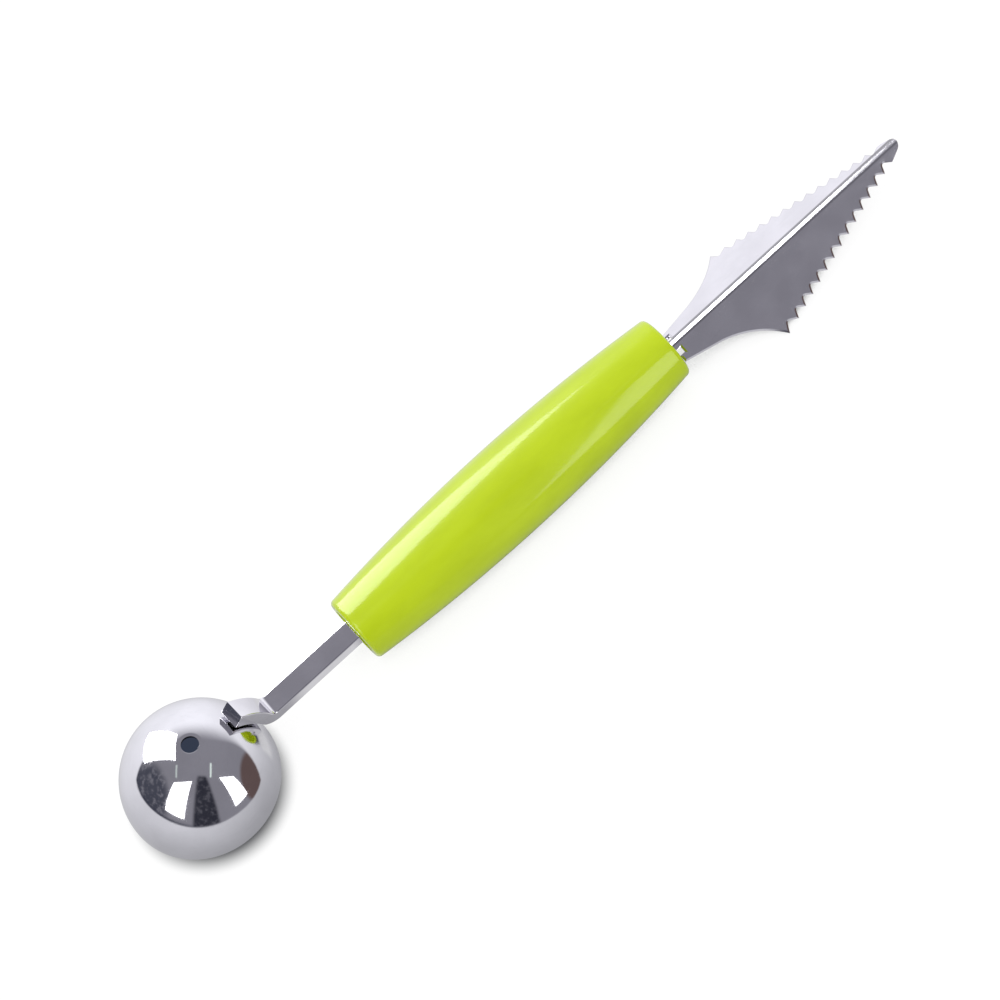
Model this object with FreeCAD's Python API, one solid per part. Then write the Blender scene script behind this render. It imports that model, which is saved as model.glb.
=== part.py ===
import FreeCAD, Part
import math
import os

from FreeCAD import Vector

# A double-ended hand tool: a round scoop at one end of a barrel handle and a folded, toothed carving
# blade at the other. Lengths are in millimetres and angles in degrees. While it is built, the origin is
# the handle's centre, X runs along the handle from the scoop to the blade tip and +Z is the crown side
# of the scoop. The finished tool is then set down on Z = 0, centred over the origin.

# Handle: a moulded barrel with a straight bore
handle_length = 82.4
handle_belly_diameter = 18.4
handle_scoop_end_diameter = 14.2
handle_blade_end_diameter = 13.7
handle_end_wall = 1.8
handle_rim_rounding = 1.0
bore_mouth_chamfer = 0.25

# Plugs: moulded on the tangs, snapped into the bore and flush with the handle's ends
plug_cover = 2.0
plug_clearance = 0.05
plug_nose_chamfer = 0.6
snap_bead_inset = 5.0
snap_bead_width = 1.8
snap_bead_height = 0.4
snap_bead_top_share = 0.4

# Scoop bowl: a pressed hemisphere with a short straight skirt and a vent hole beside its crown
scoop_diameter = 30.0
bowl_sheet = 1.0
bowl_skirt = 1.4
rim_bevel = 0.35
vent_diameter = 3.6
vent_lean = 10.7
bowl_reach = 41.05
bowl_drop = 3.4

# Scoop shank: a flat bar, bent up into a strap that follows the outside of the bowl
shank_width = 4.6
shank_thickness = 2.9
shank_drop = 0.3
shank_edge_rounding = 0.55
shank_rounding_limit_share = 0.3
shank_bend_radius = 1.2
shank_tang_length = 14.0
shank_key_diameter = 2.2
strap_gap = 0.5
strap_end_latitude = 46.0

# Spot welds: nuggets that bridge the gap between the strap and the bowl
weld_diameter = 2.6
weld_latitudes = (22.0, 35.0)

# Carving blade: one sheet folded to a V. Its outline is measured on a flat wing, along the ridge from the
# handle's end face and outwards from the sharp line of the fold.
blade_sheet = 0.7
blade_wing_slope = 31.7
blade_fold_radius = 1.1
blade_ridge_drop = 0.85
blade_length = 60.8
root_half_width = 4.5
flare_start_along = 8.95
flare_start_out = 6.4
flare_bow = 1.15
barb_along = 19.9
barb_out = 14.2

# Teeth: a wide first bite behind the barb, then even bites up to the last point before the nose
barb_gap = 3.45
tooth_count = 13
last_tooth_along = 57.4
last_tooth_out = 2.85
bite_depth = 1.73
bite_root_radius = 0.5
nose_length = 1.0
nose_half_width = 1.7
nose_bow = 0.3

# Blade root: a narrow tang, and shoulders that stop short of the plug with a relief notch beside the tang
blade_tang_length = 14.0
blade_tang_half_width = 1.6
blade_key_diameter = 1.4
shoulder_gap = 0.85
relief_depth = 1.2
relief_width = 1.4

# Shared values
cut_overrun = 2.0
full_turn = 360.0
quarter_turn = 90.0

# Sizes worked out from the values above
handle_half = handle_length / 2
belly_radius = handle_belly_diameter / 2
scoop_end_radius = handle_scoop_end_diameter / 2
blade_end_radius = handle_blade_end_diameter / 2
bore_radius = min(scoop_end_radius, blade_end_radius) - handle_end_wall
plug_radius = bore_radius - plug_clearance
bowl_inner_radius = scoop_diameter / 2
bowl_radius = bowl_inner_radius + bowl_sheet
bowl_centre = Vector(-handle_half - bowl_reach, 0, -bowl_drop)
strap_inner_radius = bowl_radius + strap_gap
strap_outer_radius = strap_inner_radius + shank_thickness
bar_top = shank_thickness / 2 - shank_drop
bar_bottom = bar_top - shank_thickness
slope_sine = math.sin(math.radians(blade_wing_slope))
slope_cosine = math.cos(math.radians(blade_wing_slope))
wing_reach = barb_out + cut_overrun

x_axis = Vector(1, 0, 0)
y_axis = Vector(0, 1, 0)
z_axis = Vector(0, 0, 1)
handle_centre = Vector(0, 0, 0)


def line(start, end):
    """A straight edge."""
    return Part.LineSegment(start, end).toShape()


def arc(start, middle, end):
    """A circular edge through three points."""
    return Part.Arc(start, middle, end).toShape()


def path(points):
    """Straight edges from each point to the next."""
    return [line(start, end) for start, end in zip(points, points[1:])]


def face(edges):
    """A flat face inside a closed run of edges."""
    return Part.Face(Part.Wire(edges))


def polar(centre, radius, angle):
    """The point at a radius and an angle above +X, in the upright plane through a centre."""
    turn = math.radians(angle)
    return centre + Vector(radius * math.cos(turn), 0, radius * math.sin(turn))


def drill(centre, direction, diameter, length):
    """A round cutter of the given length, centred on a point."""
    start = centre - direction * (length / 2)
    return Part.makeCylinder(diameter / 2, length, start, direction)


def bowed_arc(start, end, bow, side):
    """An arc from start to end whose middle stands off the chord by bow, on the given side."""
    middle = (start + end) / 2 + side * bow
    return arc(start, middle, end)


def bead_points(middle, base_radius, height, width):
    """Profile of a snap ring on the handle's axis: two points at its base and two at its top."""
    half = width / 2
    top_half = half * snap_bead_top_share
    top_radius = base_radius + height
    return [
        Vector(middle - half, 0, base_radius),
        Vector(middle - top_half, 0, top_radius),
        Vector(middle + top_half, 0, top_radius),
        Vector(middle + half, 0, base_radius),
    ]


def handle_barrel():
    """Barrel grip turned about X: bowed outside, straight bore, one snap groove behind each mouth."""
    bead_place = handle_half - snap_bead_inset
    groove_depth = snap_bead_height
    groove_width = snap_bead_width + 2 * plug_clearance
    mouth_radius = bore_radius + bore_mouth_chamfer
    mouth_edge = handle_half - bore_mouth_chamfer
    scoop_rim = Vector(-handle_half, 0, scoop_end_radius)
    blade_rim = Vector(handle_half, 0, blade_end_radius)
    bore = [scoop_rim, Vector(-handle_half, 0, mouth_radius), Vector(-mouth_edge, 0, bore_radius)]
    bore += bead_points(-bead_place, bore_radius, groove_depth, groove_width)
    bore += bead_points(bead_place, bore_radius, groove_depth, groove_width)
    bore += [Vector(mouth_edge, 0, bore_radius), Vector(handle_half, 0, mouth_radius), blade_rim]
    outside = arc(blade_rim, Vector(0, 0, belly_radius), scoop_rim)
    turned = face(path(bore) + [outside]).revolve(handle_centre, x_axis, full_turn)
    rounding = min(handle_rim_rounding, handle_end_wall - 2 * bore_mouth_chamfer)
    return turned.makeFillet(rounding, [edge for edge in turned.Edges if is_outer_rim(edge)])


def is_outer_rim(edge):
    """True for the two circles where the barrel's outside meets its end faces."""
    if not isinstance(edge.Curve, Part.Circle):
        return False
    ring = edge.Curve
    end_radius = blade_end_radius if ring.Center.x > 0 else scoop_end_radius
    return math.isclose(ring.Radius, end_radius) and math.isclose(abs(ring.Center.x), handle_half)


def plug_blank(side, tang_length):
    """Solid plug over a tang's end: side is -1 at the scoop and +1 at the blade."""
    outer_end = handle_half
    inner_end = handle_half - tang_length - plug_cover
    profile = [
        Vector(inner_end, 0, 0),
        Vector(inner_end, 0, plug_radius - plug_nose_chamfer),
        Vector(inner_end + plug_nose_chamfer, 0, plug_radius),
    ]
    profile += bead_points(handle_half - snap_bead_inset, plug_radius, snap_bead_height, snap_bead_width)
    profile += [Vector(outer_end, 0, plug_radius), Vector(outer_end, 0, 0), profile[0]]
    blank = face(path(profile)).revolve(handle_centre, x_axis, full_turn)
    if side < 0:
        blank = blank.mirror(handle_centre, x_axis)
    return blank


def scoop_bowl():
    """Pressed bowl: a hollow hemisphere with a skirt, a bevelled rim and the vent hole."""
    rim_height = -bowl_skirt
    points = [
        Vector(bowl_radius, 0, 0),
        Vector(bowl_radius, 0, rim_height + rim_bevel),
        Vector(bowl_radius - rim_bevel, 0, rim_height),
        Vector(bowl_inner_radius, 0, rim_height),
        Vector(bowl_inner_radius, 0, 0),
    ]
    crown = Vector(0, 0, bowl_radius)
    inner_crown = Vector(0, 0, bowl_inner_radius)
    eighth = quarter_turn / 2
    inside = arc(points[-1], polar(handle_centre, bowl_inner_radius, eighth), inner_crown)
    outside = arc(crown, polar(handle_centre, bowl_radius, eighth), points[0])
    edges = path(points) + [inside, line(inner_crown, crown), outside]
    bowl = face(edges).revolve(handle_centre, z_axis, full_turn)
    vent_direction = polar(handle_centre, 1, quarter_turn - vent_lean)
    vent_length = bowl_sheet + 2 * cut_overrun
    vent = drill(vent_direction * bowl_radius, vent_direction, vent_diameter, vent_length)
    return bowl.cut(vent).translated(bowl_centre)


def scoop_shank():
    """Flat bar on the handle's axis, bent up and wrapped over the bowl, with a keyed tang in the plug."""
    rise = bar_top + shank_bend_radius + bowl_drop
    span = strap_outer_radius + shank_bend_radius
    bend_centre = Vector(bowl_centre.x + math.sqrt(span ** 2 - rise ** 2), 0, bar_top + shank_bend_radius)
    strap_start_latitude = math.degrees(math.asin(rise / span))
    bend_middle = (quarter_turn + strap_start_latitude) / 2 + 2 * quarter_turn
    strap_middle = (strap_start_latitude + strap_end_latitude) / 2
    bend_outer_radius = shank_bend_radius + shank_thickness
    tang_end = -handle_half + shank_tang_length
    top = [Vector(tang_end, 0, bar_top), Vector(bend_centre.x, 0, bar_top)]
    bottom = [Vector(bend_centre.x, 0, bar_bottom), Vector(tang_end, 0, bar_bottom)]
    outer_start = polar(bowl_centre, strap_outer_radius, strap_start_latitude)
    outer_end = polar(bowl_centre, strap_outer_radius, strap_end_latitude)
    inner_end = polar(bowl_centre, strap_inner_radius, strap_end_latitude)
    inner_start = polar(bowl_centre, strap_inner_radius, strap_start_latitude)
    edges = [
        line(*top),
        arc(top[1], polar(bend_centre, shank_bend_radius, bend_middle), outer_start),
        arc(outer_start, polar(bowl_centre, strap_outer_radius, strap_middle), outer_end),
        line(outer_end, inner_end),
        arc(inner_end, polar(bowl_centre, strap_inner_radius, strap_middle), inner_start),
        arc(inner_start, polar(bend_centre, bend_outer_radius, bend_middle), bottom[0]),
        line(*bottom),
        line(bottom[1], top[0]),
    ]
    side_face = face(edges).translated(y_axis * (-shank_width / 2))
    bar = side_face.extrude(y_axis * shank_width)
    rounding = min(shank_edge_rounding, shank_thickness * shank_rounding_limit_share)
    bar = bar.makeFillet(rounding, [edge for edge in bar.Edges if is_long_edge(edge)])
    key_place = Vector(-handle_half + shank_tang_length / 2, 0, 0)
    key = drill(key_place, z_axis, shank_key_diameter, shank_thickness + 2 * cut_overrun)
    return bar.cut(key)


def is_long_edge(edge):
    """True for an edge that runs along the bar, false across it and around its two ends."""
    across = edge.BoundBox.YLength > shank_width / 2
    around_end = math.isclose(edge.Length, shank_thickness)
    return not across and not around_end


def bowl_spot_welds():
    """Weld nuggets that fill the gap between the bowl's outside and the strap's underside."""
    ball = Part.makeSphere(bowl_radius, bowl_centre)
    under_strap = drill(bowl_centre, y_axis, 2 * strap_inner_radius, shank_width)
    nuggets = []
    for latitude in weld_latitudes:
        place = polar(bowl_centre, strap_inner_radius, latitude)
        direction = polar(handle_centre, 1, latitude)
        nugget = drill(place, direction, weld_diameter, weld_diameter + 2 * strap_gap)
        nuggets.append(nugget.common(under_strap).cut(ball))
    return Part.makeCompound(nuggets)


def carving_blade():
    """Folded blade: a V-section strip trimmed square to each wing."""
    blade = blade_strip()
    for side in (-1, 1):
        blade = blade.common(wing_keeper(side))
    key_place = Vector(-blade_tang_length / 2, 0, 0)
    key = drill(key_place, z_axis, blade_key_diameter, 2 * wing_reach)
    return blade.cut(key).translated(Vector(handle_half, 0, -blade_ridge_drop))


def blade_strip():
    """Long strip of V-shaped section with a rounded fold, ridge along X through the origin."""
    inner_radius = max(blade_fold_radius - blade_sheet, 0)
    fold_centre = Vector(0, 0, -blade_fold_radius / slope_cosine)
    outer = fold_points(fold_centre, blade_fold_radius)
    inner = fold_points(fold_centre, inner_radius)
    edges = [
        line(outer[0], outer[1]),
        arc(outer[1], outer[2], outer[3]),
        line(outer[3], outer[4]),
        line(outer[4], inner[4]),
        line(inner[4], inner[3]),
        arc(inner[3], inner[2], inner[1]),
        line(inner[1], inner[0]),
        line(inner[0], outer[0]),
    ]
    section = face(edges).translated(x_axis * (-blade_tang_length - cut_overrun))
    return section.extrude(x_axis * (blade_tang_length + blade_length + 2 * cut_overrun))


def fold_points(fold_centre, radius):
    """One face of the V-section: wing end, start, top and end of the fold, other wing end."""
    points = []
    for side in (-1, 1):
        normal = Vector(0, side * slope_sine, slope_cosine)
        wing = Vector(0, side * slope_cosine, -slope_sine)
        tangent_point = fold_centre + normal * radius
        points.append([tangent_point + wing * wing_reach, tangent_point])
    top = fold_centre + z_axis * radius
    return points[0] + [top] + points[1][::-1]


def wing_keeper(side):
    """Block that keeps everything inside one wing's flat outline, square to that wing."""
    normal = Vector(0, side * slope_sine, slope_cosine)

    def place(along, out):
        return Vector(along, side * out * slope_cosine, -out * slope_sine)

    outline = face(wing_outline(place))
    return outline.translated(normal * -wing_reach).extrude(normal * (2 * wing_reach))


def wing_outline(place):
    """Edges of one flat wing: tang, relief notch, shoulder, flared root, barb, teeth and nose."""
    relief_out = blade_tang_half_width + relief_width
    relief_end = shoulder_gap + relief_depth
    root = [
        place(blade_length, -wing_reach),
        place(-blade_tang_length, -wing_reach),
        place(-blade_tang_length, blade_tang_half_width),
        place(relief_end, blade_tang_half_width),
        place(relief_end, relief_out),
        place(shoulder_gap, relief_out),
        place(shoulder_gap, root_half_width),
        place(flare_start_along, flare_start_out),
    ]
    barb = place(barb_along, barb_out)
    last_tooth = place(last_tooth_along, last_tooth_out)
    nose_start = place(blade_length - nose_length, nose_half_width)
    nose_tip = place(blade_length, 0)
    edges = path(root)
    edges.append(bowed_arc(root[-1], barb, flare_bow, square_to(place, root[-1], barb, -1)))
    edges += toothed_edge(place, barb, last_tooth)
    edges.append(line(last_tooth, nose_start))
    edges.append(bowed_arc(nose_start, nose_tip, nose_bow, square_to(place, nose_start, nose_tip, 1)))
    edges.append(line(nose_tip, root[0]))
    return edges


def square_to(place, start, end, outwards):
    """Unit direction in the wing's plane, square to a run from start to end; +1 is away from the ridge."""
    run = end - start
    out_direction = place(0, 1)
    square = out_direction - run * (out_direction.dot(run) / run.dot(run))
    return square.normalize() * outwards


def toothed_edge(place, barb, last_tooth):
    """Bites from the barb to the last tooth: a wide one, then even ones."""
    direction = (last_tooth - barb).normalize()
    inwards = square_to(place, barb, last_tooth, -1)
    pitch = ((last_tooth - barb).Length - barb_gap) / tooth_count
    edges = bite(barb, barb + direction * barb_gap, inwards)
    for index in range(tooth_count):
        start = barb + direction * (barb_gap + index * pitch)
        edges += bite(start, start + direction * pitch, inwards)
    return edges


def bite(start, end, inwards):
    """One bite between two tooth points: two straight flanks and a round root."""
    corner = (start + end) / 2 + inwards * bite_depth
    half_angle = math.atan2((end - start).Length / 2, bite_depth)
    flank = bite_root_radius / math.tan(half_angle)
    root_rise = bite_root_radius / math.sin(half_angle) - bite_root_radius
    first = corner + (start - corner).normalize() * flank
    second = corner + (end - corner).normalize() * flank
    root = corner - inwards * root_rise
    return [line(start, first), arc(first, root, second), line(second, end)]


def build_tool():
    """All pieces by name, in the handle's own frame."""
    shank = scoop_shank()
    blade = carving_blade()
    return {
        "scoop_bowl": scoop_bowl(),
        "bowl_spot_welds": bowl_spot_welds(),
        "scoop_shank": shank,
        "scoop_end_plug": plug_blank(-1, shank_tang_length).cut(shank),
        "handle_barrel": handle_barrel(),
        "blade_end_plug": plug_blank(1, blade_tang_length).cut(blade),
        "carving_blade": blade,
    }


def set_down(pieces):
    """The same pieces with the tool's box standing on Z = 0, centred over the origin."""
    box = Part.makeCompound(list(pieces.values())).optimalBoundingBox(False)
    shift = Vector(-box.Center.x, -box.Center.y, -box.ZMin)
    return {name: shape.translated(shift) for name, shape in pieces.items()}


def main():
    os.makedirs("parts", exist_ok=True)
    for name, shape in set_down(build_tool()).items():
        shape.exportStep(os.path.join("parts", name + ".step"))
        print(name, len(shape.Solids), "solids,", round(shape.Volume, 2), "mm3, valid", shape.isValid())


main()
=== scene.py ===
import math

import bmesh
import bpy
from bpy.props import FloatProperty, FloatVectorProperty, PointerProperty
from mathutils import Matrix, Vector


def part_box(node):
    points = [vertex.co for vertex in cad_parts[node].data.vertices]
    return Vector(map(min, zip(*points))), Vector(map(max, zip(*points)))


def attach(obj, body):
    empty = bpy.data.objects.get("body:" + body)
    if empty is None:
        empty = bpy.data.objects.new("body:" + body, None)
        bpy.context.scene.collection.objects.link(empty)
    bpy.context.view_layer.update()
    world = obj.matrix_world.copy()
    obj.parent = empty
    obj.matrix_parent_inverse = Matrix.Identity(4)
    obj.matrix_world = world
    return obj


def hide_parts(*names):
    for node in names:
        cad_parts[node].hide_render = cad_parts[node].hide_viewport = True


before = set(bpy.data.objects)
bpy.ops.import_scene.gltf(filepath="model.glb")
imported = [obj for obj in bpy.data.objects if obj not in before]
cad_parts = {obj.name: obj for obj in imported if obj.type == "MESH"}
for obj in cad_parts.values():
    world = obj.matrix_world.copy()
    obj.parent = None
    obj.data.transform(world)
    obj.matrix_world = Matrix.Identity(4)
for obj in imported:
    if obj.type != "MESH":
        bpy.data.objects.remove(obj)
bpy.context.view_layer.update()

bl_info = {
    "name": "Melon Baller",
    "version": (1, 0, 0),
    "blender": (4, 5, 0),
    "location": "View3D > Sidebar > Melon Baller",
    "description": "Builds a double-ended melon baller around its CAD frame, with a plain studio",
    "category": "Mesh",
}

MM = 0.001
FULL_TURN = 2 * math.pi
QUARTER_TURN = math.pi / 2
X_AXIS = Vector((1, 0, 0))
Y_AXIS = Vector((0, 1, 0))
Z_AXIS = Vector((0, 0, 1))

# Places that follow the CAD frame
HANDLE_LOW, HANDLE_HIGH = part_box("handle_barrel")
HANDLE_CENTRE = (HANDLE_LOW + HANDLE_HIGH) / 2
BOWL_LOW, BOWL_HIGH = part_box("scoop_bowl")
BOWL_X = (BOWL_LOW.x + BOWL_HIGH.x) / 2
BOWL_RADIUS = (BOWL_HIGH.x - BOWL_LOW.x) / 2
SHANK_LOW, SHANK_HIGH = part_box("scoop_shank")
BLADE_LOW, BLADE_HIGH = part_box("carving_blade")

# Slack of cuts, of merged points and of tests on places
CUT_SLACK = 0.0001 * MM
MERGE_SLACK = 0.001 * MM
BALL_MERGE_SLACK = 0.002 * MM
TURNED_MERGE_SLACK = 0.005 * MM
HAIR = 0.01 * MM
NEAR = 0.02 * MM
LIP_REACH = 0.05 * MM

# Steps of the round forms
BALL_SEGMENTS = 192
BALL_RINGS = 96
TURNED_STEPS = 192
BARREL_STEPS = 84
RIM_STEPS = 10
BEND_STEPS = 14
STRAP_STEPS = 18
ROUND_PROFILE = 0.5

# Angles in degrees above which an edge is shaded sharp, and where faces count as one or as square
SHARP_PRESSED = 35
SHARP_TURNED = 25
SHARP_BLADE = 20
SAME_FACE = 1
SQUARE_EDGE = 60


def length(name, description, millimetres):
    """A size property in metres, written in millimetres."""
    return FloatProperty(
        name=name, description=description, default=millimetres * MM,
        min=0.0, precision=5, unit="LENGTH",
    )


def angle(name, description, degrees):
    """An angle property, written in degrees."""
    return FloatProperty(
        name=name, description=description, default=math.radians(degrees), subtype="ANGLE"
    )


def colour(name, description, red, green, blue):
    """A colour property in linear values."""
    return FloatVectorProperty(
        name=name, description=description, default=(red, green, blue),
        min=0.0, max=1.0, subtype="COLOR",
    )


def share(name, description, value):
    """A plain number from 0 to 1."""
    return FloatProperty(
        name=name, description=description, default=value, min=0.0, max=1.0, subtype="FACTOR"
    )


def level(name, description, value):
    """A light level, where 1 is white."""
    return FloatProperty(name=name, description=description, default=value, min=0.0)


class MelonBowlSettings(bpy.types.PropertyGroup):
    """Sizes and finish of the pressed scoop bowl."""

    sheet: length("Sheet", "Thickness of the pressed sheet", 1.0)
    centre_height: length("Centre height", "Half ball's centre above the frame's rim", 1.4)
    skirt: length("Skirt", "Straight wall below the half ball", 0.35)
    rim_bevel: length("Rim bevel", "Bevel around the outside of the rim", 0.25)
    vent_diameter: length("Vent diameter", "Width of the vent hole beside the crown", 3.6)
    vent_lean: angle("Vent lean", "Lean of the vent from the crown towards the handle", 10.7)
    vent_dish: length("Vent dish", "How far the punch presses in the edge of the vent", 0.09)
    steel: colour("Steel", "Colour of the mirror-polished steel", 0.70, 0.695, 0.73)
    roughness: share("Roughness", "Blur of the mirror polish", 0.05)


class MelonShankSettings(bpy.types.PropertyGroup):
    """Sizes and finish of the flat bar, its strap and the welds."""

    thickness: length("Thickness", "Thickness of the flat bar", 2.9)
    drop: length("Drop", "How far the bar's middle lies below the handle's axis", 0.3)
    bend_radius: length("Bend radius", "Inside radius of the bend at the bowl", 1.2)
    strap_gap: length("Strap gap", "Gap between the strap and the bowl", 0.5)
    strap_end: angle("Strap end", "Latitude on the bowl where the strap ends", 46.0)
    edge_rounding: length("Edge rounding", "Rounding of the bar's long edges", 0.3)
    end_rounding: length("End rounding", "Rounding around the strap's cut end", 0.12)
    end_lean: angle("End lean", "How far the strap's cut end leans back", 6.0)
    steel: colour("Steel", "Colour of the polished bar", 0.74, 0.73, 0.77)
    roughness: share("Roughness", "Blur of the bar's polish", 0.04)
    weld: colour("Weld", "Colour of the weld nuggets", 0.33, 0.32, 0.33)


class MelonHandleSettings(bpy.types.PropertyGroup):
    """Sizes and finish of the moulded grip and its end plugs."""

    scoop_end_radius: length("Scoop end radius", "Grip's radius where the shank enters", 7.1)
    blade_end_radius: length("Blade end radius", "Grip's radius where the blade enters", 6.85)
    rim_rounding: length("Rim rounding", "Rounding of the grip's two rims", 1.0)
    bore_radius: length("Bore radius", "Radius of the straight bore", 5.05)
    mouth_chamfer: length("Mouth chamfer", "Chamfer at each mouth of the bore", 0.25)
    groove_inset: length("Groove inset", "Snap groove's middle, from the end face", 5.0)
    groove_width: length("Groove width", "Width of the snap groove at the bore", 1.9)
    groove_depth: length("Groove depth", "Depth of the snap groove", 0.4)
    groove_floor: share("Groove floor", "Width of the groove's floor as a share of its mouth", 0.4)
    lime: colour("Lime", "Colour of the glossy plastic", 0.445, 0.575, 0.0)
    lime_pale: colour("Pale lime", "Lighter clouds in the plastic", 0.49, 0.63, 0.002)
    roughness: share("Roughness", "Blur of the grip's gloss", 0.07)
    gloss: share("Gloss", "Strength of the grip's gloss", 1.0)
    # The plugs' lime is the grip's lime darkened: painted shade for the shaded ends of the handle.
    plug_shaded_lime: colour("Plug lime", "Colour of the plugs", 0.30, 0.39, 0.01)
    plug_roughness: share("Plug roughness", "Blur of the plugs' gloss", 0.5)
    plug_gloss: share("Plug gloss", "Strength of the plugs' gloss", 0.06)


class MelonBladeSettings(bpy.types.PropertyGroup):
    """Sizes and finish of the folded, toothed blade."""

    ridge_depth: length("Ridge depth", "How far the ridge's flat lies below the sharp fold", 0.24)
    ridge_lean: angle("Ridge lean", "Lean of the ridge's flat towards the left wing", 12.0)
    ridge_rounding: length("Ridge rounding", "Rounding beside the ridge's flat", 0.08)
    wing_slope: angle("Wing slope", "Slope of each wing", 31.7)
    fold_radius: length("Fold radius", "Outside radius of the fold in the frame", 1.1)
    edge_roll: length("Edge roll", "Width of the edge that the punch rolls down", 0.36)
    edge_drop: length("Edge drop", "How far the rolled edge drops", 0.22)
    nose_plain: length("Plain nose", "Length of the nose that has no rolled edge", 2.6)
    # The two bands beside the ridge's flat are painted shade: dark bands in the base colour that
    # stand in for the fold's darker reflection.
    left_painted_shade: length("Left mark", "Width of the painted shade left of the ridge's flat", 0.75)
    left_painted_shade_tone: share("Left mark tone", "How dark the left mark is", 0.6)
    right_painted_shade: length("Right mark", "Width of the painted shade right of the ridge's flat", 0.3)
    right_painted_shade_tone: share("Right mark tone", "How dark the right mark is", 0.35)
    steel: colour("Steel", "Colour of the polished sheet", 0.68, 0.67, 0.71)
    roughness: share("Roughness", "Blur of the blade's polish", 0.06)


class MelonStudioSettings(bpy.types.PropertyGroup):
    """Camera, floor and light of the studio."""

    azimuth: angle("Azimuth", "Camera's direction around the tool", -10.892)
    elevation: angle("Elevation", "Camera's height above the horizon", 64.736)
    roll: angle("Roll", "Camera's turn about its own axis", -32.504)
    distance: length("Distance", "Camera's distance from the handle's middle", 969.48)
    aside: length("Aside", "Camera's step to the left", 2.123)
    down: length("Down", "Camera's step down", 2.353)
    lens: FloatProperty(
        name="Lens", description="Focal length in mm on a 36 mm sensor", default=180.0
    )
    floor_size: length("Floor size", "Width of the floor", 3000.0)
    floor: colour("Floor", "Colour of the floor", 0.8, 0.8, 0.8)
    floor_glow: level("Floor glow", "What the camera sees in the open floor besides light", 0.87)
    soft_light: level("Soft light", "Level of the even light on dull surfaces", 0.82)
    soft_slope: level("Soft slope", "How much brighter that light is from the upper left", 0.66)
    key_level: level("Key level", "Brightness of the large window behind the tool", 9.0)
    side_level: level("Side level", "Brightness of the two windows beside the camera", 4.0)


GROUPS = {
    "melon_bowl": MelonBowlSettings,
    "melon_shank": MelonShankSettings,
    "melon_handle": MelonHandleSettings,
    "melon_blade": MelonBladeSettings,
    "melon_studio": MelonStudioSettings,
}


# Modelling helpers


def clear_selection():
    """Back to object mode with nothing selected."""
    if bpy.context.object and bpy.context.object.mode != "OBJECT":
        bpy.ops.object.mode_set(mode="OBJECT")
    bpy.ops.object.select_all(action="DESELECT")


def activate(piece):
    """The piece becomes the only selected object."""
    clear_selection()
    piece.select_set(True)
    bpy.context.view_layer.objects.active = piece


def edit(piece):
    """Edit mode on the piece, with everything in it selected."""
    activate(piece)
    bpy.ops.object.mode_set(mode="EDIT")
    bpy.ops.mesh.select_mode(type="VERT")
    select_all()


def leave_edit():
    bpy.ops.object.mode_set(mode="OBJECT")


def select_all():
    bpy.ops.mesh.select_all(action="SELECT")


def pick(kind, wanted):
    """Selects the vertices, edges or faces that pass the test, and nothing else."""
    bpy.ops.mesh.select_mode(type=kind)
    bpy.ops.mesh.select_all(action="DESELECT")
    data = bpy.context.object.data
    mesh = bmesh.from_edit_mesh(data)
    mesh.normal_update()
    parts = {"VERT": mesh.verts, "EDGE": mesh.edges, "FACE": mesh.faces}[kind]
    chosen = [part for part in parts if wanted(part)]
    for part in chosen:
        part.select_set(True)
    mesh.select_flush_mode()
    bmesh.update_edit_mesh(data)
    if not chosen:
        raise RuntimeError("nothing found on " + bpy.context.object.name)


def slice_off(place, outwards, use_fill=False):
    """Cuts away what lies beyond a plane."""
    select_all()
    bpy.ops.mesh.bisect(
        plane_co=place, plane_no=outwards, use_fill=use_fill, clear_outer=True, threshold=CUT_SLACK
    )


def score_across(along):
    """Cuts edges around the mesh at a place along X, and keeps both sides."""
    select_all()
    bpy.ops.mesh.bisect(plane_co=X_AXIS * along, plane_no=X_AXIS, threshold=CUT_SLACK)


def extrude(step):
    bpy.ops.mesh.extrude_region_move(TRANSFORM_OT_translate={"value": step})


def bevel(offset, segments):
    bpy.ops.mesh.bevel(offset=offset, segments=segments, profile=ROUND_PROFILE)


def merge_all(slack):
    """Joins points that lie together and turns all faces outwards."""
    select_all()
    bpy.ops.mesh.remove_doubles(threshold=slack)
    bpy.ops.mesh.normals_make_consistent(inside=False)


def all_near(edge, measure, value):
    """True if both ends of an edge measure about the same value."""
    return all(abs(measure(vertex.co) - value) < NEAR for vertex in edge.verts)


def new_primitive(name, add, **options):
    """A primitive with its place, turn and size put into its mesh."""
    clear_selection()
    add(**options)
    piece = bpy.context.object
    piece.name = name
    piece.data.name = name
    bpy.ops.object.transform_apply(location=True, rotation=True, scale=True)
    return piece


def apply_modifier(piece, kind, **settings):
    """Adds one modifier and applies it."""
    activate(piece)
    modifier = piece.modifiers.new(kind.lower(), kind)
    for name, value in settings.items():
        setattr(modifier, name, value)
    bpy.ops.object.modifier_apply(modifier=modifier.name)


def smooth_by_angle(piece, degrees):
    activate(piece)
    bpy.ops.object.shade_smooth_by_angle(angle=math.radians(degrees))


def dress(piece, node, material):
    """The finished piece stands for a CAD node and takes its material."""
    clear_selection()
    piece.data.materials.clear()
    piece.data.materials.append(material)
    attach(piece, "root")
    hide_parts(node)


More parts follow.
